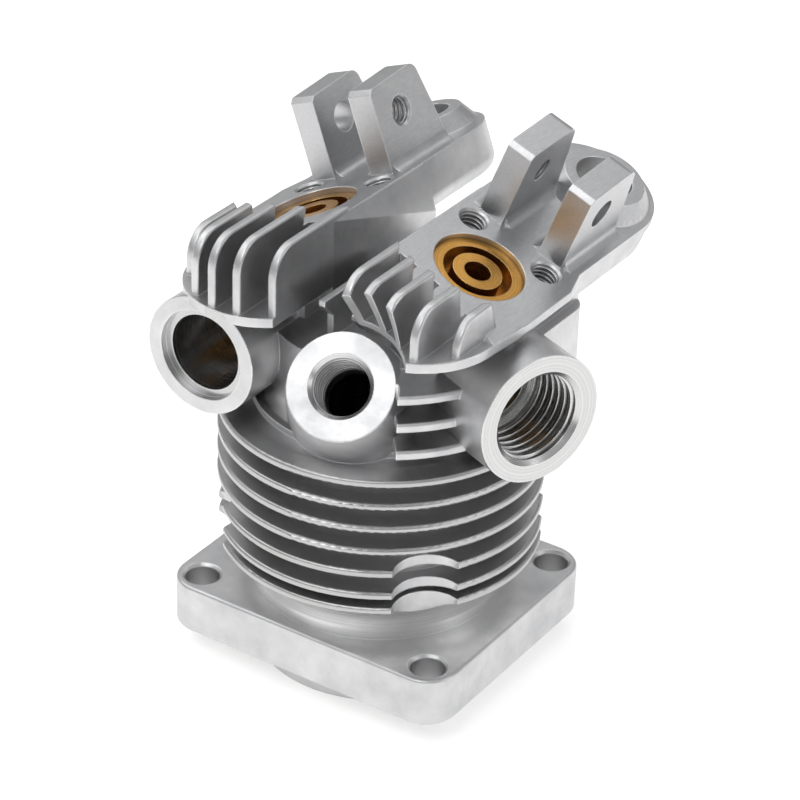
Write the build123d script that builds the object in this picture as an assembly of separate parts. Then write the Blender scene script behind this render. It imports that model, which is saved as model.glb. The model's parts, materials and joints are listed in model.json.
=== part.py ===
from build123d import *
import math
import os

# Bare cylinder head of a small four-stroke engine: finned barrel, head and bolt flange in one casting.
# Millimetres. Z is the cylinder axis, pointing up. The origin is the bore centre on the flange's underside.
# The inlet side is -X, the exhaust side is +X, the ports face -Y and the pushrods pass at the +Y end.

# ---- flange and its screw pattern ----
flange_length = 34.4
flange_width = 29.8
flange_thickness = 5.5
flange_corner_radius = 3.6
flange_edge_break = 0.35
screw_spacing_x = 28.4
screw_spacing_y = 23.9
screw_hole_diameter = 3.6
screw_hole_break = 0.3

# ---- barrel ----
bore_diameter = 21.0
liner_outer_diameter = 23.6
spigot_radius = 12.8
spigot_length = 2.6
barrel_core_radius = 13.4
fin_radius = 17.0
fin_count = 6
fin_pitch = 2.643
fin_rim_thickness = 0.8
fin_root_thickness = 1.5
top_fin_underside = 25.93
collar_rim_underside = 11.03
collar_rim_top = 11.73
collar_flare = (14.1, 8.9)
notch_radius = 4.0
notched_fins = 2
notch_bottom = 9.6

# ---- combustion chamber ----
chamber_floor = 28.6
dome_height = 5.7

# ---- head core and its side fins ----
core_radius = 11.8
core_foot_round = 3.2
core_top = 36.6
side_fin_radius = 16.7
side_fin_tops = (30.0, 33.1, 36.2)
side_fin_thickness = 1.05

# ---- cheeks: the solid walls that carry each platform ----
cheek_inner_x = 3.9
cheek_tail_x = 2.1
cheek_outer_x = 17.3
cheek_step_z = 38.6
cheek_upper_x = 16.2
cheek_front_y = -3.5
cheek_back_y = 11.0
cheek_foot_z = 30.2
cheek_corner_radius = 2.6

# ---- rocker platforms, drawn in their own tilted plane ----
platform_tilt = 21.0
valve_x = 10.5
valve_y = 0.6
platform_z = 44.7
inlet_set_back = 1.2
platform_half_width = 7.0
exhaust_tail_y = 21.4
inlet_tail_y = 20.2
platform_thickness = 5.3
platform_front_y = -4.5
trim_start_y = -5.0
trim_end_y = 10.5
exhaust_spot_radius = 8.6
inlet_spot_radius = 7.6

# ---- nose: the upright fins and their ledge ----
upright_fin_x = (4.375, 7.4, 10.2, 13.0, 15.8)
upright_fin_tops = (47.6, 48.0, 47.8, 47.0, 45.5)
upright_fin_thickness = 0.95
upright_fin_round = 0.25
fin_corner_radius = 3.2
ledge_thickness = 1.0
ledge_back_y = 6.0
ledge_outer_x = 17.9
ledge_bend_y = -4.0
ledge_taper_x = 16.6
ledge_taper_y = 10.6
shoulder_slope = 3.0
exhaust_ledge_top = 42.0
inlet_ledge_top = 40.6
nose_web_front_y = -7.5
nose_web_inner_x = 5.6
nose_web_outer_x = 11.0
nose_x = 9.3
exhaust_nose_y = -8.2
inlet_nose_y = -9.1
nose_radius = 8.0
ledge_lip = 0.25
slot_back_gap = 5.7
slot_back_radius = 4.5
valley_fin_x = (-1.5, 1.2)
valley_fin_fronts = (-9.2, -7.4)
valley_fin_back = 3.0
valley_fin_tops = (41.2, 39.6)
valley_fin_thickness = 0.75
valley_fin_slant = 1.5

# ---- rocker ears ----
ear_thickness = 2.9
ear_gap = 4.7
ear_front_y = 7.4
ear_top_length = 8.2
ear_foot_length = 10.6
ear_height = 9.0
ear_back_height = 9.4
ear_foot_round = 1.1
ear_front_break = 0.5
ear_back_radius = 1.4
rocker_screw_major = 3.0
rocker_screw_core = 2.5
rocker_screw_pitch = 0.5
rocker_screw_y = 11.6
rocker_screw_height = 5.4

# ---- other holes in the platforms ----
cover_screw_x = 4.6
cover_screw_y = 5.6
cover_screw_major = 3.0
cover_screw_core = 2.5
cover_screw_pitch = 0.5
cover_screw_depth = 5.0
pushrod_offset_x = 0.6
pushrod_y = 21.9
pushrod_diameter = 6.2
pushrod_boss_radius = 4.4
pushrod_boss_foot = 5.7
pushrod_boss_rise = 1.8

# ---- valve guides and seats ----
guide_head_diameter = 9.6
guide_head_depth = 3.0
guide_body_diameter = 5.6
guide_length = 7.2
guide_bore = 2.8
guide_recess = 0.6
spring_groove_outer = 7.2
spring_groove_inner = 5.2
spring_groove_depth = 1.8
seat_outer_diameter = 8.6
seat_throat_diameter = 6.6
seat_height = 2.0
seat_chamfer = 0.6
seat_face_depth = 12.3
duct_depth = 8.4

# ---- ports ----
inlet_face = (-12.1, -15.0, 34.1)
inlet_boss_diameter = 12.8
inlet_bore = 8.2
inlet_counterbore = 9.8
inlet_counterbore_depth = 0.8
inlet_straight = 11.0
exhaust_face = (21.0, -4.1, 33.2)
exhaust_azimuth = -22.6
exhaust_boss_diameter = 13.8
exhaust_thread_major = 10.0
exhaust_thread_core = 8.92
exhaust_thread_pitch = 1.0
exhaust_thread_length = 7.0
plug_face = (3.9, -13.6, 35.4)
plug_azimuth = -72.0
plug_elevation = 40.0
plug_boss_diameter = 11.0
plug_relief_radius = 5.8
plug_relief_length = 12.0
plug_relief_spread = 0.28
plug_thread_major = 6.35
plug_thread_core = 5.6
plug_thread_pitch = 25.4 / 32
plug_thread_length = 6.0
plug_hole_depth = 9.0
port_duct = 7.0


def exhaust_platform():
    """Plane of the exhaust-side platform: origin where the valve axis leaves it, z out of the surface."""
    tilt = math.radians(platform_tilt)
    return Plane(
        origin=(valve_x, valve_y, platform_z),
        x_dir=(math.cos(tilt), 0, -math.sin(tilt)),
        z_dir=(math.sin(tilt), 0, math.cos(tilt)),
    )


def to_inlet_side(shape):
    """The inlet side is the exhaust side mirrored, set back along Y by the cam spacing."""
    return Pos(0, inlet_set_back, 0) * mirror(shape, about=Plane.YZ)


def direction(azimuth, elevation):
    """Unit vector from an azimuth (from +X) and an elevation, in degrees."""
    turn = math.radians(azimuth)
    rise = math.radians(elevation)
    return Vector(math.cos(turn) * math.cos(rise), math.sin(turn) * math.cos(rise), math.sin(rise))


def port_plane(face, axis):
    """Plane on a port's machined face, z pointing out of the port."""
    return Plane(origin=face, z_dir=axis)


def drill(plane, diameter, depth, start=0.0):
    """A cylinder that goes down into the part from a plane, starting above it by start."""
    length = depth + start
    return plane * Pos(0, 0, start - length / 2) * Cylinder(diameter / 2, length)


def edge_break(plane, diameter, size):
    """A small cone that bevels the mouth of a hole."""
    return plane * Pos(0, 0, -size / 2) * Cone(diameter / 2, diameter / 2 + size, size)


def thread_grooves(plane, core, major, pitch, length):
    """Thread form as closely spaced ring grooves, cut outwards from the core diameter."""
    depth = (major - core) / 2
    land = pitch * 0.18
    grooves = []
    for turn in range(int(length / pitch)):
        middle = -(turn + 0.75) * pitch
        half = pitch / 2 - land
        outline = Polyline(
            (core / 2 - 0.05, middle - half),
            (core / 2 - 0.05, middle + half),
            (core / 2 + depth, middle + land / 3),
            (core / 2 + depth, middle - land / 3),
            close=True,
        )
        profile = Plane.XZ * make_face(outline)
        grooves.append(plane * revolve(profile, Axis.Z))
    return grooves


def ring_disc(inner, outer, bottom, top, root_extra=0.0, rim_radius=0.3):
    """A turned disc whose rim is rounded and whose root may be thicker."""
    outline = Polyline(
        (inner, bottom - root_extra),
        (outer, bottom),
        (outer, top),
        (inner, top + root_extra),
        close=True,
    )
    face = make_face(outline)
    rim = [corner for corner in face.vertices() if corner.X > outer - 0.01]
    face = fillet(rim, rim_radius)
    return revolve(Plane.XZ * face, Axis.Z)


def flange():
    """Rectangular bolt flange with rounded corners and broken edges."""
    plate = extrude(RectangleRounded(flange_length, flange_width, flange_corner_radius), flange_thickness)
    rims = plate.edges().group_by(Axis.Z)
    return fillet(rims[0] + rims[-1], flange_edge_break)


def barrel():
    """Core of the barrel with its collar, spigot and thin round fins."""
    pieces = [Pos(0, 0, 14) * Cylinder(barrel_core_radius, 28)]
    pieces.append(Pos(0, 0, -spigot_length / 2 + 0.5) * Cylinder(spigot_radius, spigot_length + 1))
    collar = ThreePointArc(
        (barrel_core_radius, flange_thickness + 0.4),
        collar_flare,
        (fin_radius, collar_rim_underside),
    )
    collar += Polyline(
        (fin_radius, collar_rim_underside),
        (fin_radius, collar_rim_top),
        (barrel_core_radius - 1, collar_rim_top + 0.4),
        (barrel_core_radius - 1, flange_thickness - 1),
        (barrel_core_radius, flange_thickness - 1),
        (barrel_core_radius, flange_thickness + 0.4),
    )
    collar_face = make_face(collar)
    rim = [corner for corner in collar_face.vertices() if corner.X > fin_radius - 0.01]
    pieces.append(revolve(Plane.XZ * fillet(rim, 0.25), Axis.Z))
    root_extra = (fin_root_thickness - fin_rim_thickness) / 2
    for row in range(fin_count):
        bottom = top_fin_underside - row * fin_pitch
        pieces.append(
            ring_disc(barrel_core_radius - 1, fin_radius, bottom, bottom + fin_rim_thickness, root_extra)
        )
    return pieces


def screw_positions():
    """The four flange screws."""
    half_x = screw_spacing_x / 2
    half_y = screw_spacing_y / 2
    return [(x, y) for x in (-half_x, half_x) for y in (-half_y, half_y)]


def screw_holes():
    """Through holes in the flange, and notches in the lower fins that let a driver reach them."""
    top = Plane.XY.offset(flange_thickness)
    cuts = []
    notch_top = top_fin_underside - (fin_count - 1 - notched_fins) * fin_pitch - 0.5
    height = notch_top - notch_bottom
    drilled = Cylinder(screw_hole_diameter / 2, flange_thickness + 2)
    for x, y in screw_positions():
        cuts.append(Pos(x, y, flange_thickness / 2) * drilled)
        cuts.append(Pos(x, y, 0) * edge_break(top, screw_hole_diameter, screw_hole_break))
        cuts.append(Pos(x, y, notch_bottom + height / 2) * Cylinder(notch_radius, height))
    return cuts


def head_core():
    """Round core of the head, meeting the top fin in a large fillet."""
    foot = core_radius + core_foot_round
    root_slope = (fin_root_thickness - fin_rim_thickness) / 2 / (fin_radius - barrel_core_radius + 1)
    floor = top_fin_underside + fin_rim_thickness + root_slope * (fin_radius - foot)
    middle = core_foot_round * (1 - math.sin(math.radians(45)))
    outline = ThreePointArc(
        (foot, floor),
        (core_radius + middle, floor + middle),
        (core_radius, floor + core_foot_round),
    )
    outline += Polyline(
        (core_radius, floor + core_foot_round),
        (core_radius, core_top),
        (0, core_top),
        (0, floor - 0.6),
        (foot, floor - 0.6),
        (foot, floor),
    )
    return revolve(Plane.XZ * make_face(outline), Axis.Z)


def sector(first, last, radius, bottom, top):
    """A wedge used to keep only part of a round shape."""
    points = [(0, 0)]
    for step in range(7):
        turn = math.radians(first + (last - first) * step / 6)
        points.append((radius * math.cos(turn), radius * math.sin(turn)))
    face = make_face(Polyline(*points, close=True))
    return Pos(0, 0, bottom) * extrude(face, top - bottom)


def side_fins():
    """Level fins on the head core, between the plug and exhaust bosses and across the back."""
    pieces = []
    for top in side_fin_tops:
        disc = ring_disc(core_radius - 1, side_fin_radius, top - side_fin_thickness, top, 0.2)
        front = disc & sector(-52, -15, 30, 20, 45)
        back = disc & sector(40, 140, 30, 20, 45)
        pieces += [front, back]
    return pieces


def inner_wall():
    """Points of the lobe's inner side wall, which eases out towards the tail."""
    return [(cheek_inner_x, trim_start_y), (cheek_tail_x, trim_end_y)]


def cheek():
    """Solid wall under the exhaust platform, from the core up to the platform."""
    wide = cheek_outer_x - cheek_inner_x
    deep = cheek_back_y - cheek_front_y
    block = extrude(Rectangle(wide, deep), 20)
    block = fillet(block.edges().filter_by(Axis.Z).group_by(Axis.X)[-1], cheek_corner_radius)
    foot = block.faces().sort_by(Axis.Z)[0]
    block = fillet(foot.edges().group_by(Axis.X)[-1], cheek_corner_radius * 0.9)
    middle_x = (cheek_inner_x + cheek_outer_x) / 2
    middle_y = (cheek_front_y + cheek_back_y) / 2
    block = Pos(middle_x, middle_y, cheek_foot_z) * block
    step = Pos(cheek_upper_x + 5, middle_y, cheek_step_z + 10) * Box(10, deep + 2, 20)
    back = [(cheek_tail_x, cheek_back_y), (valve_x, cheek_back_y)]
    web = Polyline(*inner_wall(), *back, (valve_x, trim_start_y), close=True)
    wall = Pos(0, 0, cheek_foot_z) * extrude(make_face(web), 20)
    beyond_slab = Pos(-platform_half_width - 5, 8, 10 - platform_thickness) * Box(10, 60, 20)
    beyond_slab = exhaust_platform() * beyond_slab
    return block - step + (wall - beyond_slab) - above_platform()


def platform_slab(tail_y):
    """Tilted slab with the round tail that the pushrod passes through, and the pushrod's raised ring."""
    half = platform_half_width
    front = [(-half, platform_front_y), (half, platform_front_y)]
    outline = Polyline((-half, tail_y), *front, (half, tail_y))
    outline += ThreePointArc((half, tail_y), (0, tail_y + half), (-half, tail_y))
    slab = extrude(make_face(outline), -platform_thickness)
    under = slab.faces().sort_by(Axis.Z)[0]
    tail_edges = [edge for edge in under.edges() if edge.center().Y > platform_front_y + 0.1]
    slab = fillet(tail_edges, 1.6)
    return exhaust_platform() * slab - slab_trim()


def slab_trim():
    """Brings the slab's inner side in line with the wall under it."""
    outline = Polyline((cheek_inner_x, -20), *inner_wall(), (-5, trim_end_y), (-5, -20), close=True)
    return Pos(0, 0, 30) * extrude(make_face(outline), 30)


def pushrod_boss():
    """Raised ring around the pushrod hole, flared at its foot."""
    height = pushrod_boss_rise + 1
    spread = pushrod_boss_foot - pushrod_boss_radius
    ring = Cone(pushrod_boss_foot + spread / pushrod_boss_rise, pushrod_boss_radius, height)
    return exhaust_platform() * Pos(pushrod_offset_x, pushrod_y, pushrod_boss_rise - height / 2) * ring


def fin_front(x, nose_y):
    """How far forward a plate at a given X can go without leaving the round front of the nose."""
    reach = abs(x - nose_x) + upright_fin_thickness / 2
    return nose_y - math.sqrt(nose_radius ** 2 - reach ** 2)


def upright_fin(x, top, nose_y, ledge_top):
    """One upright plate with a large round at its top front corner and softened edges."""
    front = fin_front(x, nose_y)
    back = valve_y - 1
    low = ledge_top - ledge_thickness
    outline = Polyline((front, low), (front, top), (back, top), (back, low), close=True)
    face = make_face(outline)
    corner = [point for point in face.vertices() if point.Y > top - 0.01 and point.X < front + 0.01]
    face = fillet(corner, fin_corner_radius)
    plate = extrude(Plane.YZ * face, upright_fin_thickness)
    plate = Pos(x - upright_fin_thickness / 2, 0, 0) * plate
    exposed = [edge for edge in plate.edges() if edge.center().Z > ledge_top]
    exposed = [edge for edge in exposed if edge.center().Y < back - 0.01]
    long_edges = [edge for edge in exposed if abs(edge.center().X - x) > 0.1]
    return fillet(long_edges, upright_fin_round)


def ledge_prism(nose_y, bottom, top):
    """The ledge's outline between two heights: round in front, tapering in behind the valve."""
    round_front = Pos(nose_x, nose_y, 0) * Circle(nose_radius + ledge_lip)
    half = (ledge_outer_x - valve_x) / 2
    deep = ledge_back_y - ledge_bend_y
    beside = Pos(valve_x + half, ledge_bend_y + deep / 2, 0) * Rectangle(2 * half, deep)
    behind = Pos(valve_x, ledge_taper_y - 1, 0) * Rectangle(2 * (ledge_taper_x - valve_x), 2)
    outline = make_hull(round_front.edges() + beside.edges() + behind.edges())
    keep = Pos(cheek_inner_x + 10, 0, 0) * Rectangle(20, 60)
    return Pos(0, 0, bottom) * extrude(outline & keep, top - bottom)


def shoulder(nose_y, ledge_top):
    """The widest part of the lobe beside the valve, rising from the ledge to the platform."""
    wall_y = valve_y - slot_back_gap
    low = ledge_top - ledge_thickness / 2
    high = platform_z + 4
    slope = [(wall_y - shoulder_slope, low), (wall_y, ledge_top + shoulder_slope), (wall_y, high)]
    end_y = ledge_taper_y + 1
    side = Polyline(*slope, (end_y, high), (end_y, low), close=True)
    block = Pos(valve_x, 0, 0) * extrude(Plane.YZ * make_face(side), 10)
    return (block & ledge_prism(nose_y, low, high)) - above_platform()


def above_platform():
    """Everything above the exhaust platform's surface."""
    return exhaust_platform() * Pos(0, 0, 10) * Box(80, 80, 20)


def slot_back(ledge_top):
    """Block behind the fins whose hollow front face closes the slots."""
    wall_y = valve_y - slot_back_gap
    curve_y = wall_y - slot_back_radius
    curve_z = ledge_top + slot_back_radius
    middle = slot_back_radius * math.sin(math.radians(45))
    top = platform_z + 6
    low = ledge_top - ledge_thickness
    outline = Polyline((valve_y, top), (valve_y, low), (curve_y, low), (curve_y, ledge_top))
    outline += ThreePointArc((curve_y, ledge_top), (curve_y + middle, curve_z - middle), (wall_y, curve_z))
    outline += Polyline((wall_y, curve_z), (wall_y, top), (valve_y, top))
    block = extrude(Plane.YZ * make_face(outline), upright_fin_x[-1] - cheek_inner_x)
    return Pos(cheek_inner_x, 0, 0) * block - above_platform()


def nose_web(ledge_top):
    """Wall that carries the ledge, set well back from its rim."""
    wide = nose_web_outer_x - nose_web_inner_x
    deep = platform_front_y - nose_web_front_y + 2
    tall = ledge_top - core_top + 0.5
    wall = Box(wide, deep, tall)
    middle_x = (nose_web_inner_x + nose_web_outer_x) / 2
    return Pos(middle_x, nose_web_front_y + deep / 2, core_top - 1 + tall / 2) * wall


def nose(nose_y, ledge_top):
    """Rounded front of the head lobe: upright fins on a ledge."""
    pieces = [slot_back(ledge_top), shoulder(nose_y, ledge_top), nose_web(ledge_top)]
    pieces.append(ledge_prism(nose_y, ledge_top - ledge_thickness, ledge_top))
    for x, top in zip(upright_fin_x, upright_fin_tops):
        pieces.append(upright_fin(x, top, nose_y, ledge_top))
    return pieces


def valley_fins():
    """Small upright plates with slanted fronts in the valley between the lobes, behind the plug boss."""
    plates = []
    for x, front, top in zip(valley_fin_x, valley_fin_fronts, valley_fin_tops):
        outline = Polyline(
            (front, top),
            (front, top - 0.6),
            (front + valley_fin_slant, top - 0.6 - valley_fin_slant),
            (front + valley_fin_slant, core_top - 2),
            (valley_fin_back, core_top - 2),
            (valley_fin_back, top),
            close=True,
        )
        face = Plane.YZ * make_face(outline)
        plates.append(Pos(x, 0, 0) * extrude(face, valley_fin_thickness / 2, both=True))
    return plates


def machined_top(spot_radius):
    """Everything above the platform surface that the cutter removes around the valve and behind it."""
    half = platform_half_width + 3
    disc = Pos(0, 0, 10) * Cylinder(spot_radius, 20)
    sweep = Pos(0, 17, 10) * Box(2 * half, 40, 20)
    return exhaust_platform() * (disc + sweep)


def ear(inner_u):
    """One rocker ear: square front, rounded back corner, sloping back edge and a flared foot."""
    top_back = ear_front_y + ear_top_length
    foot_back = ear_front_y + ear_foot_length
    outline = Polyline(
        (ear_front_y, -1.5),
        (ear_front_y, ear_height),
        (top_back, ear_back_height),
        (foot_back, 0),
        (foot_back + 0.4, -1.5),
        close=True,
    )
    face = make_face(outline)
    back_top = face.vertices().sort_by(Axis.Y)[-1]
    face = fillet([back_top], ear_back_radius)
    front_top = [corner for corner in face.vertices() if corner.X < ear_front_y + 0.1 and corner.Y > 1]
    face = chamfer(front_top, ear_front_break)
    plate = extrude(Plane.YZ * face, ear_thickness)
    left = foot_fillet()
    right = Pos(ear_thickness, 0, 0) * mirror(left, about=Plane.YZ)
    return Pos(inner_u, 0, 0) * (plate + left + right)


def foot_fillet():
    """Hollow fillet along the left side of an ear's foot."""
    size = ear_foot_round
    middle = size * (1 - math.sin(math.radians(45)))
    outline = ThreePointArc((-size, 0), (-middle, middle), (0, size))
    outline += Polyline((0, size), (0.2, size), (0.2, -0.4), (-size, -0.4), (-size, 0))
    strip = extrude(Plane.XZ * make_face(outline), -(ear_foot_length - 0.8))
    return Pos(0, ear_front_y + 0.4, 0) * strip


def rocker_ears():
    """The pair of ears that carry the rocker."""
    half_gap = ear_gap / 2
    pair = [ear(half_gap), ear(-half_gap - ear_thickness)]
    return [exhaust_platform() * item for item in pair]


def valve_holes():
    """Along the valve axis: recess and bore for the guide, throat and pocket for the seat."""
    plane = exhaust_platform()
    seat_top = seat_face_depth - seat_height
    cuts = [drill(plane, guide_head_diameter, guide_recess + guide_head_depth, 5)]
    cuts.append(drill(plane, guide_body_diameter, seat_top))
    throat = seat_top - duct_depth
    cuts.append(plane * Pos(0, 0, -duct_depth - throat / 2) * Cylinder(seat_throat_diameter / 2, throat))
    cuts.append(plane * Pos(0, 0, -duct_depth) * Sphere(seat_throat_diameter / 2))
    pocket = seat_height + 3
    cuts.append(plane * Pos(0, 0, -seat_top - pocket / 2) * Cylinder(seat_outer_diameter / 2, pocket))
    return cuts


def tapped(plane, core, major, pitch, length, depth):
    """A tapped hole: core drill, ring grooves for the thread and a bevelled mouth."""
    cuts = [drill(plane, core, depth, 1), edge_break(plane, core, (major - core) / 2 + 0.15)]
    return cuts + thread_grooves(plane, core, major, pitch, length)


def platform_holes():
    """Cover screw holes, pushrod hole and the rocker screw hole of one platform."""
    plane = exhaust_platform()
    cuts = []
    for side in (-1, 1):
        spot = plane * Pos(side * cover_screw_x, cover_screw_y, 0)
        cuts += tapped(spot, cover_screw_core, cover_screw_major, cover_screw_pitch,
                       cover_screw_depth - 1, cover_screw_depth)
    spot = plane * Pos(pushrod_offset_x, pushrod_y, pushrod_boss_rise)
    cuts.append(drill(spot, pushrod_diameter, platform_thickness + 8, 2))
    shaft = plane * Pos(0, rocker_screw_y, rocker_screw_height) * Rot(0, -90, 0)
    inner_side = shaft * Pos(0, 0, ear_gap / 2 + ear_thickness)
    cuts += tapped(inner_side, rocker_screw_core, rocker_screw_major, rocker_screw_pitch,
                   ear_thickness, ear_thickness + 1)
    outer_span = ear_gap / 2 + ear_thickness + 2
    cuts.append(shaft * Pos(0, 0, -outer_span / 2) * Cylinder(rocker_screw_major / 2 + 0.1, outer_span))
    return cuts


def seat_face_point(depth):
    """Point on the exhaust valve axis at a depth below the platform."""
    return (exhaust_platform() * Pos(0, 0, -depth)).position


def leg(start, end, diameter):
    """A round duct between two points with a ball at its far end."""
    run = Vector(*end) - Vector(*start)
    plane = Plane(origin=start, z_dir=run)
    tube = plane * Pos(0, 0, run.length / 2) * Cylinder(diameter / 2, run.length)
    return [tube, Pos(*end) * Sphere(diameter / 2), Pos(*start) * Sphere(diameter / 2)]


def inlet_port_cuts():
    """Plain inlet bore with its shallow counterbore, bending to the inlet valve throat."""
    face = port_plane(inlet_face, (0, -1, 0))
    cuts = [drill(face, inlet_bore, inlet_straight, 1)]
    cuts.append(drill(face, inlet_counterbore, inlet_counterbore_depth, 1))
    x, y, z = inlet_face
    bend = (x, y + inlet_straight, z)
    throat = seat_face_point(duct_depth)
    cuts += leg(bend, (-throat.X, throat.Y + inlet_set_back, throat.Z), port_duct)
    return cuts


def exhaust_port_cuts():
    """Threaded exhaust bore, bending to the exhaust valve throat."""
    axis = direction(exhaust_azimuth, 0)
    face = port_plane(exhaust_face, axis)
    cuts = tapped(face, exhaust_thread_core, exhaust_thread_major, exhaust_thread_pitch,
                  exhaust_thread_length, exhaust_thread_length + 0.5)
    bend = Vector(*exhaust_face) - axis * exhaust_thread_length
    throat = seat_face_point(duct_depth)
    cuts += leg(tuple(bend), tuple(throat), port_duct)
    return cuts


def plug_cuts():
    """Plug hole: conical relief above the boss face, and the thread through to the chamber."""
    face = port_plane(plug_face, direction(plug_azimuth, plug_elevation))
    mouth_radius = plug_relief_radius + plug_relief_spread * plug_relief_length
    relief = Cone(plug_relief_radius, mouth_radius, plug_relief_length)
    cuts = [face * Pos(0, 0, plug_relief_length / 2) * relief]
    cuts += tapped(face, plug_thread_core, plug_thread_major, plug_thread_pitch,
                   plug_thread_length, plug_hole_depth)
    return cuts


def chamber_cuts():
    """Liner bore with a domed combustion chamber above it."""
    radius = bore_diameter / 2
    sphere_radius = (radius ** 2 + dome_height ** 2) / (2 * dome_height)
    dome = Pos(0, 0, chamber_floor + dome_height - sphere_radius) * Sphere(sphere_radius)
    keep = Pos(0, 0, chamber_floor + 10) * Cylinder(radius, 20)
    liner_hole = Pos(0, 0, (chamber_floor - spigot_length) / 2 - 0.5)
    liner_hole *= Cylinder(liner_outer_diameter / 2, chamber_floor + spigot_length + 1)
    return [dome & keep, liner_hole]


def lobe(nose_y, ledge_top, tail_y, spot_radius):
    """Everything above the round core on one side, machined, in the exhaust side's place."""
    solid = cheek() + platform_slab(tail_y)
    solid += nose(nose_y, ledge_top)
    solid -= machined_top(spot_radius)
    solid += rocker_ears()
    solid += pushrod_boss()
    return solid - platform_holes()


def head_casting():
    """The whole aluminium casting with its machining."""
    solid = flange()
    solid += barrel()
    solid += head_core()
    solid += side_fins()
    solid += valley_fins()
    solid += lobe(exhaust_nose_y, exhaust_ledge_top, exhaust_tail_y, exhaust_spot_radius)
    inlet_lobe = lobe(inlet_nose_y, inlet_ledge_top, inlet_tail_y, inlet_spot_radius)
    solid += to_inlet_side(inlet_lobe)
    solid += port_bosses()
    exhaust_valve = valve_holes()
    cuts = exhaust_valve + [to_inlet_side(item) for item in exhaust_valve]
    cuts += inlet_port_cuts() + exhaust_port_cuts() + plug_cuts() + chamber_cuts() + screw_holes()
    return solid - cuts


def port_bosses():
    """Outer shapes of the inlet tube, exhaust tube and plug boss."""
    x, y, z = inlet_face
    inlet = port_plane(inlet_face, (0, -1, 0)) * Pos(0, 0, -7.5) * Cylinder(inlet_boss_diameter / 2, 15)
    exhaust = port_plane(exhaust_face, direction(exhaust_azimuth, 0))
    exhaust = exhaust * Pos(0, 0, -7) * Cylinder(exhaust_boss_diameter / 2, 14)
    plug = port_plane(plug_face, direction(plug_azimuth, plug_elevation))
    plug = plug * Pos(0, 0, -4) * Cone(plug_boss_diameter / 2 + 1.8, plug_boss_diameter / 2, 8)
    return [inlet, exhaust, plug]


def cylinder_liner():
    """Pressed liner, flush with the end of the spigot."""
    length = chamber_floor + spigot_length
    tube = Cylinder(liner_outer_diameter / 2, length) - Cylinder(bore_diameter / 2, length)
    tube = Pos(0, 0, chamber_floor - length / 2) * tube
    return tube


def valve_guide():
    """Bronze guide whose wide head holds the valve spring in a ring groove."""
    head = Pos(0, 0, -guide_head_depth / 2) * Cylinder(guide_head_diameter / 2, guide_head_depth)
    body = Pos(0, 0, -guide_length / 2) * Cylinder(guide_body_diameter / 2, guide_length)
    groove = Cylinder(spring_groove_outer / 2, spring_groove_depth)
    groove -= Cylinder(spring_groove_inner / 2, spring_groove_depth)
    guide = head + body - Pos(0, 0, -spring_groove_depth / 2) * groove
    guide -= Pos(0, 0, -guide_length / 2) * Cylinder(guide_bore / 2, guide_length + 1)
    return exhaust_platform() * Pos(0, 0, -guide_recess) * guide


def valve_seat():
    """Seat ring pressed into the chamber roof, with a bevelled seating edge."""
    ring = Cylinder(seat_outer_diameter / 2, seat_height) - Cylinder(seat_throat_diameter / 2, seat_height)
    bevel = Pos(0, 0, -seat_height / 2 + seat_chamfer / 2)
    ring -= bevel * Cone(seat_throat_diameter / 2 + seat_chamfer, seat_throat_diameter / 2, seat_chamfer)
    return exhaust_platform() * Pos(0, 0, -seat_face_depth + seat_height / 2) * ring


guide = valve_guide()
seat = valve_seat()
parts = {
    "head_casting": head_casting(),
    "cylinder_liner": cylinder_liner(),
    "exhaust_valve_guide": guide,
    "inlet_valve_guide": to_inlet_side(guide),
    "exhaust_valve_seat": seat,
    "inlet_valve_seat": to_inlet_side(seat),
}

os.makedirs("parts", exist_ok=True)
for name, shape in parts.items():
    export_step(shape, f"parts/{name}.step")
    print(name, len(shape.solids()), round(shape.volume, 1), shape.bounding_box().size)
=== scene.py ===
import json
import math
import bpy
import numpy as np
from mathutils import Matrix, Vector


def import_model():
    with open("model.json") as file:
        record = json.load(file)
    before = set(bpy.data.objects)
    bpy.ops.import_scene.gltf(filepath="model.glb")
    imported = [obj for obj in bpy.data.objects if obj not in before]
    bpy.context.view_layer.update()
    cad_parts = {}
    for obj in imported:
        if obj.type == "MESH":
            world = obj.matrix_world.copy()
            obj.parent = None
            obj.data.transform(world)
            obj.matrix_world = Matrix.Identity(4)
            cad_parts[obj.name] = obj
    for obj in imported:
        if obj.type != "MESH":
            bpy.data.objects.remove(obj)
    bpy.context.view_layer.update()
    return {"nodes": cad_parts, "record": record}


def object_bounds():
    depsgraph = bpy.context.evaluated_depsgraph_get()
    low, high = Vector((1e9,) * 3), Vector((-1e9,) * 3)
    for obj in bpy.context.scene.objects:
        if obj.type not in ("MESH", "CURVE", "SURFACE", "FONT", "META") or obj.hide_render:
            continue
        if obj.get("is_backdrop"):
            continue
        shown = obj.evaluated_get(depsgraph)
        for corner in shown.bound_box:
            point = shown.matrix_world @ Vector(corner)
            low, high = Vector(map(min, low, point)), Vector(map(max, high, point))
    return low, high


# Looks of a bare cylinder head: blasted aluminium casting with turned and milled faces, bronze valve guides.
# Metres, in the CAD frame: Z is the cylinder axis, the ports face -Y, the exhaust side is +X.

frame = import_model()

MM = 0.001

# Turned bands of the casting, in millimetres from the cylinder axis and above the flange's underside.
RIM_RADII = (16.55, 17.1)
RIM_HEIGHTS = (9.5, 28)
FLARE_RADII = (11, 16.2)
FLARE_HEIGHTS = (5.6, 11.0)
NOTCH_FOOT = 9.5

# Machined ports: how far the bright mouth reaches from the axis, in millimetres, and its tone.
PORTS = (("inlet_port", 7.0, 0.60), ("exhaust_port", 7.4, 0.66), ("plug_hole", 8.5, 0.70))
PORT_ROUGHNESS = 0.22
PORT_DEPTH = 12
MOUTH_STEP = 1.1

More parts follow.
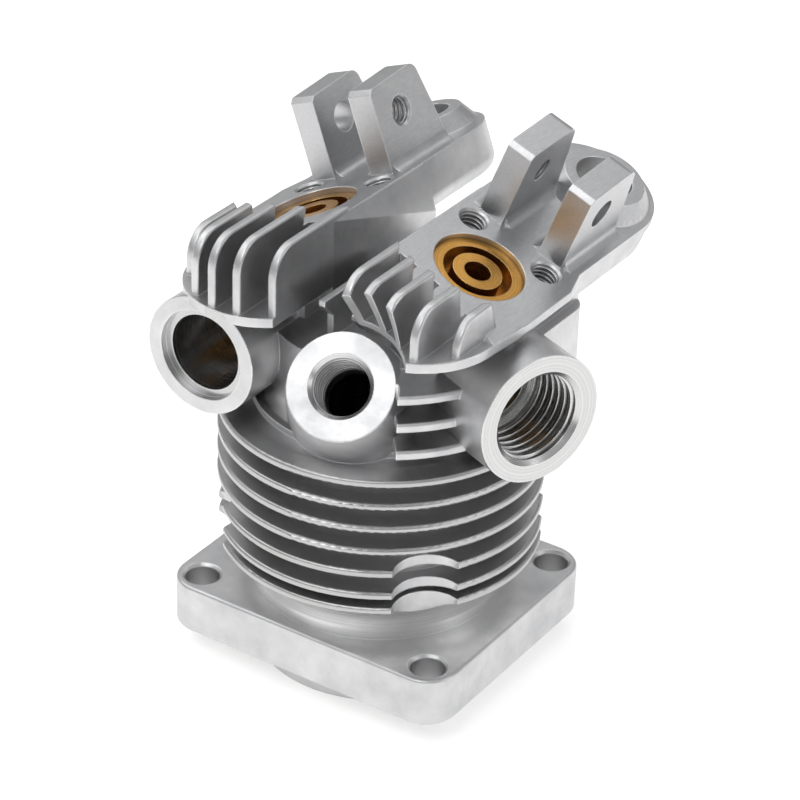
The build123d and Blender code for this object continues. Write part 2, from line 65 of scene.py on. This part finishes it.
# Rocker platforms, in millimetres.
GUIDE_RECESS = 0.6
EAR_FRONT = 6.5
EARS_ABOVE = 40

LAMP_DISTANCE = 0.5

casting = frame["nodes"]["head_casting"]
liner = frame["nodes"]["cylinder_liner"]
guides = [frame["nodes"]["inlet_valve_guide"], frame["nodes"]["exhaust_valve_guide"]]
seats = [frame["nodes"]["inlet_valve_seat"], frame["nodes"]["exhaust_valve_seat"]]
mounts = {mount["name"]: mount for mount in frame["record"]["mounts"]}


# ---------------------------------------------------------------- shader helpers

class Shader:
    """A material's node tree with short calls for the nodes used here."""

    def __init__(self, name):
        self.material = bpy.data.materials.new(name)
        self.material.use_nodes = True
        self.tree = self.material.node_tree
        self.tree.nodes.clear()
        self.output = self.add("ShaderNodeOutputMaterial")
        self.surface = self.add("ShaderNodeBsdfPrincipled")
        self.link(self.surface.outputs["BSDF"], self.output.inputs["Surface"])
        self.position = self.add("ShaderNodeTexCoord").outputs["Object"]

    def add(self, kind, **settings):
        node = self.tree.nodes.new(kind)
        for key, value in settings.items():
            setattr(node, key, value)
        return node

    def link(self, source, target):
        self.tree.links.new(source, target)

    def feed(self, target, value):
        """Link a socket, or set a plain value."""
        if isinstance(value, bpy.types.NodeSocket):
            self.link(value, target)
        else:
            target.default_value = value

    def math(self, operation, first, second=0.0, clamp=False):
        node = self.add("ShaderNodeMath", operation=operation, use_clamp=clamp)
        self.feed(node.inputs[0], first)
        self.feed(node.inputs[1], second)
        return node.outputs[0]

    def noise(self, scale, detail=3.0, roughness=0.55, vector=None):
        node = self.add("ShaderNodeTexNoise")
        self.feed(node.inputs["Vector"], vector or self.position)
        node.inputs["Scale"].default_value = scale
        node.inputs["Detail"].default_value = detail
        node.inputs["Roughness"].default_value = roughness
        return node.outputs["Fac"]

    def ramp(self, value, low, high, to_low=0.0, to_high=1.0):
        node = self.add("ShaderNodeMapRange", clamp=True)
        self.feed(node.inputs["Value"], value)
        node.inputs["From Min"].default_value = low
        node.inputs["From Max"].default_value = high
        node.inputs["To Min"].default_value = to_low
        node.inputs["To Max"].default_value = to_high
        return node.outputs["Result"]

    def mix(self, factor, first, second):
        """Mix two colours."""
        node = self.add("ShaderNodeMix", data_type="RGBA")
        self.feed(node.inputs["Factor"], factor)
        self.feed(node.inputs[6], first)
        self.feed(node.inputs[7], second)
        return node.outputs[2]

    def blend(self, factor, first, second):
        """Mix two plain numbers."""
        node = self.add("ShaderNodeMix", data_type="FLOAT")
        self.feed(node.inputs["Factor"], factor)
        self.feed(node.inputs[2], first)
        self.feed(node.inputs[3], second)
        return node.outputs[0]

    def bump(self, height, distance, strength=1.0, normal=None):
        node = self.add("ShaderNodeBump")
        node.inputs["Strength"].default_value = strength
        node.inputs["Distance"].default_value = distance
        self.feed(node.inputs["Height"], height)
        if normal is not None:
            self.link(normal, node.inputs["Normal"])
        return node.outputs["Normal"]

    def rounded(self, radius):
        """Normal softened across edges, as a small radius on them would."""
        node = self.add("ShaderNodeBevel", samples=6)
        node.inputs["Radius"].default_value = radius
        return node.outputs["Normal"]

    def edges(self, radius, gain):
        """1 along sharp outer edges, 0 on flats and in inner corners."""
        soft = self.rounded(radius)
        geometry = self.add("ShaderNodeNewGeometry").outputs["Normal"]
        dot = self.add("ShaderNodeVectorMath", operation="DOT_PRODUCT")
        self.link(soft, dot.inputs[0])
        self.link(geometry, dot.inputs[1])
        away = self.math("SUBTRACT", 1.0, dot.outputs["Value"])
        outer = self.ramp(self.cavity(2.5 * radius), 0.62, 0.85)
        return self.math("MULTIPLY", self.math("MULTIPLY", away, gain, clamp=True), outer)

    def cavity(self, distance):
        """0 deep between surfaces, 1 in the open."""
        node = self.add("ShaderNodeAmbientOcclusion", samples=6)
        node.inputs["Distance"].default_value = distance
        return node.outputs["AO"]

    def axis_space(self, origin, axis):
        """Distance along and away from an axis, for lathe marks that run round it."""
        along = Vector(axis).normalized()
        shift = self.add("ShaderNodeVectorMath", operation="SUBTRACT")
        self.link(self.position, shift.inputs[0])
        shift.inputs[1].default_value = tuple(origin)
        run = self.add("ShaderNodeVectorMath", operation="DOT_PRODUCT")
        self.link(shift.outputs[0], run.inputs[0])
        run.inputs[1].default_value = tuple(along)
        cross = self.add("ShaderNodeVectorMath", operation="CROSS_PRODUCT")
        self.link(shift.outputs[0], cross.inputs[0])
        cross.inputs[1].default_value = tuple(along)
        length = self.add("ShaderNodeVectorMath", operation="LENGTH")
        self.link(cross.outputs[0], length.inputs[0])
        return run.outputs["Value"], length.outputs["Value"]

    def rings(self, origin, axis, per_metre, detail=4.0):
        """Streaky noise that varies only along and away from an axis."""
        along, away = self.axis_space(origin, axis)
        combine = self.add("ShaderNodeCombineXYZ")
        self.link(along, combine.inputs[0])
        self.link(away, combine.inputs[1])
        return self.noise(per_metre, detail, 0.7, combine.outputs[0])

    def streaks(self, stretch, scale, detail=4.0):
        """Noise stretched along one axis, for milling marks."""
        mapping = self.add("ShaderNodeMapping")
        self.link(self.position, mapping.inputs["Vector"])
        mapping.inputs["Scale"].default_value = stretch
        return self.noise(scale, detail, 0.65, mapping.outputs["Vector"])

    def finish(self, colour, roughness, normal, metallic=1.0):
        self.feed(self.surface.inputs["Base Color"], colour)
        self.feed(self.surface.inputs["Roughness"], roughness)
        self.surface.inputs["Metallic"].default_value = metallic
        self.link(normal, self.surface.inputs["Normal"])
        return self.material


# ---------------------------------------------------------------- materials

def cast_skin():
    """Blasted casting: fine grain, slow patches of tone, painted shade in the hollows, and worn edges with a
    painted highlight.
    """
    s = Shader("cast_skin")
    patches = s.noise(260.0, 4.0, 0.6)
    grain = s.noise(3800.0, 3.0, 0.6)
    lumps = s.noise(900.0, 2.0, 0.5)
    edge = s.edges(0.32 * MM, 5.0)
    # Edge mask, broken up by noise: partly wear, partly a painted highlight along outer edges.
    wear_and_highlight = s.math("MULTIPLY", edge, s.ramp(s.noise(1500.0), 0.3, 0.6, 0.45, 1.0))
    base = s.mix(s.ramp(patches, 0.3, 0.7), (0.56, 0.565, 0.575, 1), (0.70, 0.70, 0.70, 1))
    open_air = s.ramp(s.cavity(4.0 * MM), 0.12, 0.85)
    # Painted shade: a darker grey where ambient occlusion finds hollows and gaps between fins.
    shaded = s.mix(open_air, (0.52, 0.52, 0.525, 1), base)
    # Painted highlight with wear: near-white colour along outer edges.
    colour = s.mix(wear_and_highlight, shaded, (0.90, 0.90, 0.89, 1))
    rough = s.ramp(patches, 0.3, 0.7, 0.44, 0.36)
    rough = s.math("ADD", rough, s.ramp(grain, 0.3, 0.7, -0.03, 0.03))
    rough = s.blend(wear_and_highlight, rough, 0.24)
    normal = s.bump(lumps, 0.05 * MM, 0.5, s.rounded(0.22 * MM))
    normal = s.bump(grain, 0.012 * MM, 0.6, normal)
    return s.finish(colour, rough, normal)


def turned(name, origin, axis, tone, roughness):
    """Bright turned face with fine rings round its own axis."""
    s = Shader(name)
    rings = s.rings(origin, axis, 9000.0)
    coarse = s.rings(origin, axis, 2500.0, 2.0)
    patches = s.noise(500.0)
    edge = s.edges(0.2 * MM, 4.0)
    dark = (tone * 0.80, tone * 0.80, tone * 0.80, 1)
    light = (min(1.0, tone * 1.08), min(1.0, tone * 1.08), min(1.0, tone * 1.07), 1)
    colour = s.mix(s.ramp(rings, 0.3, 0.7), dark, light)
    # Painted highlight: near-white colour along outer edges.
    colour = s.mix(s.math("MULTIPLY", edge, 0.7), colour, (0.93, 0.93, 0.92, 1))
    rough = s.ramp(coarse, 0.3, 0.7, roughness - 0.05, roughness + 0.08)
    rough = s.math("ADD", rough, s.ramp(patches, 0.3, 0.7, -0.03, 0.04))
    normal = s.bump(rings, 0.012 * MM, 0.7, s.rounded(0.12 * MM))
    return s.finish(colour, rough, normal)


def milled(name, stretch):
    """Satin milled face: straight fine streaks and soft patches."""
    s = Shader(name)
    streaks = s.streaks(stretch, 1.0)
    patches = s.noise(320.0, 3.0)
    grain = s.noise(5000.0, 2.0)
    edge = s.edges(0.25 * MM, 4.5)
    colour = s.mix(s.ramp(streaks, 0.3, 0.7), (0.53, 0.54, 0.55, 1), (0.65, 0.65, 0.65, 1))
    colour = s.mix(s.ramp(patches, 0.35, 0.7, 0.0, 0.35), colour, (0.50, 0.50, 0.52, 1))
    # Painted highlight: near-white colour along outer edges.
    colour = s.mix(edge, colour, (0.90, 0.90, 0.89, 1))
    rough = s.math("ADD", s.ramp(patches, 0.3, 0.7, 0.44, 0.34), s.ramp(grain, 0.3, 0.7, -0.03, 0.03))
    normal = s.bump(streaks, 0.012 * MM, 0.5, s.rounded(0.18 * MM))
    return s.finish(colour, rough, normal)


def bronze(name, origin, axis):
    """Turned bronze: fine rings, warm patches, brown where oil has sat in the groove and bore."""
    s = Shader(name)
    rings = s.rings(origin, axis, 7000.0)
    patches = s.noise(700.0, 3.0)
    edge = s.edges(0.15 * MM, 5.0)
    open_air = s.ramp(s.cavity(1.2 * MM), 0.25, 0.85)
    colour = s.mix(s.ramp(rings, 0.3, 0.7), (0.58, 0.29, 0.065, 1), (0.78, 0.44, 0.12, 1))
    colour = s.mix(s.ramp(patches, 0.4, 0.75, 0.0, 0.5), colour, (0.62, 0.30, 0.06, 1))
    colour = s.mix(open_air, (0.030, 0.012, 0.006, 1), colour)
    # Painted highlight: pale gold along outer edges.
    colour = s.mix(s.math("MULTIPLY", edge, 0.5), colour, (0.95, 0.72, 0.38, 1))
    rough = s.math("ADD", s.ramp(rings, 0.3, 0.7, 0.24, 0.34), s.ramp(patches, 0.3, 0.7, -0.03, 0.05))
    normal = s.bump(rings, 0.010 * MM, 0.7, s.rounded(0.10 * MM))
    return s.finish(colour, rough, normal)


def sooty_bronze(name, origin, axis):
    """Seat bronze under a grey-brown film, with a painted bronze highlight along its edges."""
    s = Shader(name)
    rings = s.rings(origin, axis, 6000.0)
    patches = s.noise(900.0, 4.0)
    edge = s.edges(0.15 * MM, 4.0)
    colour = s.mix(s.ramp(patches, 0.3, 0.7), (0.20, 0.17, 0.14, 1), (0.34, 0.28, 0.21, 1))
    # Painted highlight: bright bronze along outer edges.
    colour = s.mix(s.math("MULTIPLY", edge, 0.6), colour, (0.80, 0.62, 0.36, 1))
    rough = s.ramp(patches, 0.3, 0.7, 0.60, 0.44)
    normal = s.bump(rings, 0.010 * MM, 0.6, s.rounded(0.10 * MM))
    return s.finish(colour, rough, normal)


def honed_steel():
    """Honed liner: fine streaks and soft patches."""
    s = Shader("honed_steel")
    scratches = s.streaks((3000.0, 3000.0, 9000.0), 1.0)
    patches = s.noise(300.0)
    edge = s.edges(0.2 * MM, 4.0)
    colour = s.mix(s.ramp(scratches, 0.3, 0.7), (0.40, 0.41, 0.42, 1), (0.58, 0.58, 0.58, 1))
    # Painted highlight: light grey along outer edges.
    colour = s.mix(edge, colour, (0.8, 0.8, 0.8, 1))
    rough = s.ramp(patches, 0.3, 0.7, 0.22, 0.34)
    normal = s.bump(scratches, 0.008 * MM, 0.6, s.rounded(0.12 * MM))
    return s.finish(colour, rough, normal)


# ---------------------------------------------------------------- which faces get which finish

def face_data(obj):
    """Centres and normals of a mesh's faces, as arrays."""
    faces = obj.data.polygons
    centres = np.zeros(len(faces) * 3)
    normals = np.zeros(len(faces) * 3)
    faces.foreach_get("center", centres)
    faces.foreach_get("normal", normals)
    return centres.reshape(-1, 3), normals.reshape(-1, 3)


def from_axis(centres, point, axis):
    """Distance along an axis and away from it."""
    axis = np.array(Vector(axis).normalized())
    offset = centres - np.array(point)
    along = offset @ axis
    away = np.linalg.norm(offset - along[:, None] * axis, axis=1)
    return along, away


def paint(obj, materials, index):
    """Give an object its materials and each face its slot."""
    obj.data.materials.clear()
    for material in materials:
        obj.data.materials.append(material)
    obj.data.polygons.foreach_set("material_index", index.astype(np.int32))
    obj.data.update()


def paint_whole(obj, material):
    """Give every face of an object the same material."""
    paint(obj, [material], np.zeros(len(obj.data.polygons)))


def within(values, limits):
    """Mask of the values between two limits."""
    return (values > limits[0]) & (values < limits[1])


def port_faces(centres, normals, mount, reach):
    """The flat mouth of a port and the wall inside it."""
    along, away = from_axis(centres, mount["pos_m"], mount["axis"])
    outward = normals @ np.array(Vector(mount["axis"]).normalized())
    level = (outward > 0.99) & (away < reach * MM)
    mouth = along[level].max()
    flat = level & (np.abs(along - mouth) < MOUTH_STEP * MM)
    wall = away < mount["dims"]["r_mm"] * 1.15 * MM
    return flat | (wall & within(along, (mouth - PORT_DEPTH * MM, mouth + 0.1 * MM)))


def platform_faces(centres, normals, mount):
    """The milled platform round a valve guide, and the ears behind it."""
    up = -Vector(mount["axis"])
    along, _ = from_axis(centres, mount["pos_m"], up)
    facing = normals @ np.array(up.normalized())
    rise = along / MM
    top = mount["dims"]["length_mm"] / 2 + GUIDE_RECESS
    flat = (np.abs(rise - top) < 0.4) & (facing > 0.98)
    same_side = centres[:, 0] * up.x > 0
    ears = (rise > top + 0.3) & (centres[:, 2] / MM > EARS_ABOVE) & (centres[:, 1] / MM > EAR_FRONT)
    return flat | (ears & same_side)


def paint_casting():
    """Cast skin everywhere, then the machined faces one group at a time."""
    centres, normals = face_data(casting)
    index = np.zeros(len(centres), int)
    materials = [cast_skin()]

    def group(mask, material):
        index[mask] = len(materials)
        materials.append(material)

    height = centres[:, 2] / MM
    radius = np.hypot(centres[:, 0], centres[:, 1]) / MM
    foot = (0, 0, 0)
    upward = (0, 0, 1)
    rims = within(radius, RIM_RADII) & within(height, RIM_HEIGHTS)
    group(rims, turned("turned_rims", foot, upward, 0.54, 0.30))
    flare = within(radius, FLARE_RADII) & within(height, FLARE_HEIGHTS)
    clear_of_notches = (height < NOTCH_FOOT) | (normals[:, 2] < -0.3)
    group(flare & clear_of_notches, turned("turned_collar", foot, upward, 0.86, 0.34))
    for name, reach, tone in PORTS:
        mount = mounts[name]
        bright = turned(f"turned_{name}", mount["pos_m"], mount["axis"], tone, PORT_ROUGHNESS)
        group(port_faces(centres, normals, mount, reach), bright)
    for side in ("exhaust", "inlet"):
        satin = milled(f"milled_{side}", (5200.0, 900.0, 5200.0))
        group(platform_faces(centres, normals, mounts[f"{side}_guide_bore"]), satin)
    paint(casting, materials, index)


paint_casting()
for side, guide, seat in zip(("inlet", "exhaust"), guides, seats):
    mount = mounts[f"{side}_guide_bore"]
    paint_whole(guide, bronze(f"bronze_{side}", mount["pos_m"], mount["axis"]))
    paint_whole(seat, sooty_bronze(f"seat_bronze_{side}", mount["pos_m"], mount["axis"]))
paint_whole(liner, honed_steel())


# ---------------------------------------------------------------- floor, light and camera

def floor():
    """Plain pale floor just under the spigot."""
    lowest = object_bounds()[0][2]
    bpy.ops.mesh.primitive_plane_add(size=4.0, location=(0, 0, lowest - 0.05 * MM))
    plane = bpy.context.object
    plane.name = "floor"
    s = Shader("floor_white")
    tone = s.noise(3.0)
    colour = s.mix(tone, (0.93, 0.925, 0.92, 1), (0.95, 0.945, 0.94, 1))
    s.surface.inputs["Specular IOR Level"].default_value = 0.2
    normal = s.add("ShaderNodeNewGeometry").outputs["Normal"]
    s.finish(colour, 0.6, normal, metallic=0.0)
    s.feed(s.surface.inputs["Emission Color"], colour)
    _, away = s.axis_space((0, 0, 0), (0, 0, 1))
    under_bore = s.ramp(away, 11.5 * MM, 12.5 * MM, 0.0, 0.50)
    s.feed(s.surface.inputs["Emission Strength"], under_bore)
    plane.data.materials.append(s.material)
    plane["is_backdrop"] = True


def world():
    """White to the camera, and a soft tent that darkens towards the floor to everything else."""
    scene_world = bpy.data.worlds.new("tent")
    bpy.context.scene.world = scene_world
    scene_world.use_nodes = True
    tree = scene_world.node_tree
    tree.nodes.clear()

    def add(kind, **settings):
        node = tree.nodes.new(kind)
        for key, value in settings.items():
            setattr(node, key, value)
        return node

    coordinates = add("ShaderNodeTexCoord")
    split = add("ShaderNodeSeparateXYZ")
    tree.links.new(coordinates.outputs["Generated"], split.inputs[0])
    heights = add("ShaderNodeValToRGB")
    tree.links.new(split.outputs["Z"], heights.inputs["Fac"])
    stops = heights.color_ramp
    stops.elements[0].position = 0.0
    stops.elements[0].color = (0.30, 0.30, 0.30, 1)
    stops.elements[1].position = 1.0
    stops.elements[1].color = (0.50, 0.50, 0.51, 1)
    for place, tone in ((0.18, 0.32), (0.45, 0.46)):
        stop = stops.elements.new(place)
        stop.color = (tone, tone, tone * 1.01, 1)
    lit = add("ShaderNodeBackground")
    lit.inputs["Strength"].default_value = 1.0
    tree.links.new(heights.outputs["Color"], lit.inputs["Color"])
    plain = add("ShaderNodeBackground")
    plain.inputs["Color"].default_value = (1, 1, 1, 1)
    plain.inputs["Strength"].default_value = 1.0
    path = add("ShaderNodeLightPath")
    mix = add("ShaderNodeMixShader")
    tree.links.new(path.outputs["Is Camera Ray"], mix.inputs["Fac"])
    tree.links.new(lit.outputs[0], mix.inputs[1])
    tree.links.new(plain.outputs[0], mix.inputs[2])
    output = add("ShaderNodeOutputWorld")
    tree.links.new(mix.outputs[0], output.inputs["Surface"])


def towards(azimuth, elevation):
    """Unit vector away from the object, turned in degrees from -Y towards +X and raised above level."""
    turn = math.radians(azimuth)
    rise = math.radians(elevation)
    return Vector((math.sin(turn) * math.cos(rise), -math.cos(turn) * math.cos(rise), math.sin(rise)))


def softbox(name, azimuth, elevation, size, power):
    """Area light that looks at the middle of the object."""
    middle = Vector((0, 0, 25 * MM))
    away = towards(azimuth, elevation)
    light = bpy.data.lights.new(name, "AREA")
    light.shape = "RECTANGLE"
    light.size = size[0]
    light.size_y = size[1]
    light.energy = power
    lamp = bpy.data.objects.new(name, light)
    bpy.context.scene.collection.objects.link(lamp)
    lamp.location = middle + away * LAMP_DISTANCE
    lamp.rotation_euler = (-away).to_track_quat("-Z", "Y").to_euler()
    lamp.visible_camera = False


def camera():
    """Long lens, about 33 degrees right of the ports and 31 degrees above."""
    azimuth = 32.75
    elevation = 30.59
    roll = math.radians(1.90)
    distance = 329.1 * MM
    aim = Vector((0, 0, 16.19 * MM))
    back = towards(azimuth, elevation)
    level = Vector((math.cos(math.radians(azimuth)), math.sin(math.radians(azimuth)), 0))
    upright = back.cross(level)
    right = level * math.cos(roll) + upright * math.sin(roll)
    up = upright * math.cos(roll) - level * math.sin(roll)
    centre = aim + back * distance + right * 2.04 * MM + up * 8.49 * MM
    data = bpy.data.cameras.new("camera")
    data.lens = 142.1
    data.sensor_width = 36.0
    data.clip_start = 0.01
    viewer = bpy.data.objects.new("camera", data)
    bpy.context.scene.collection.objects.link(viewer)
    turn = Matrix((right, up, back)).transposed().to_4x4()
    viewer.matrix_world = Matrix.Translation(centre) @ turn
    bpy.context.scene.camera = viewer


floor()
world()
softbox("front_top", -2, 52, (0.36, 0.22), 0.55)
softbox("left_top", -80, 50, (0.26, 0.36), 0.40)
softbox("right", 105, 24, (0.22, 0.30), 0.28)
softbox("back_top", 205, 60, (0.36, 0.22), 0.30)
camera()
bpy.context.scene.view_settings.view_transform = "Standard"
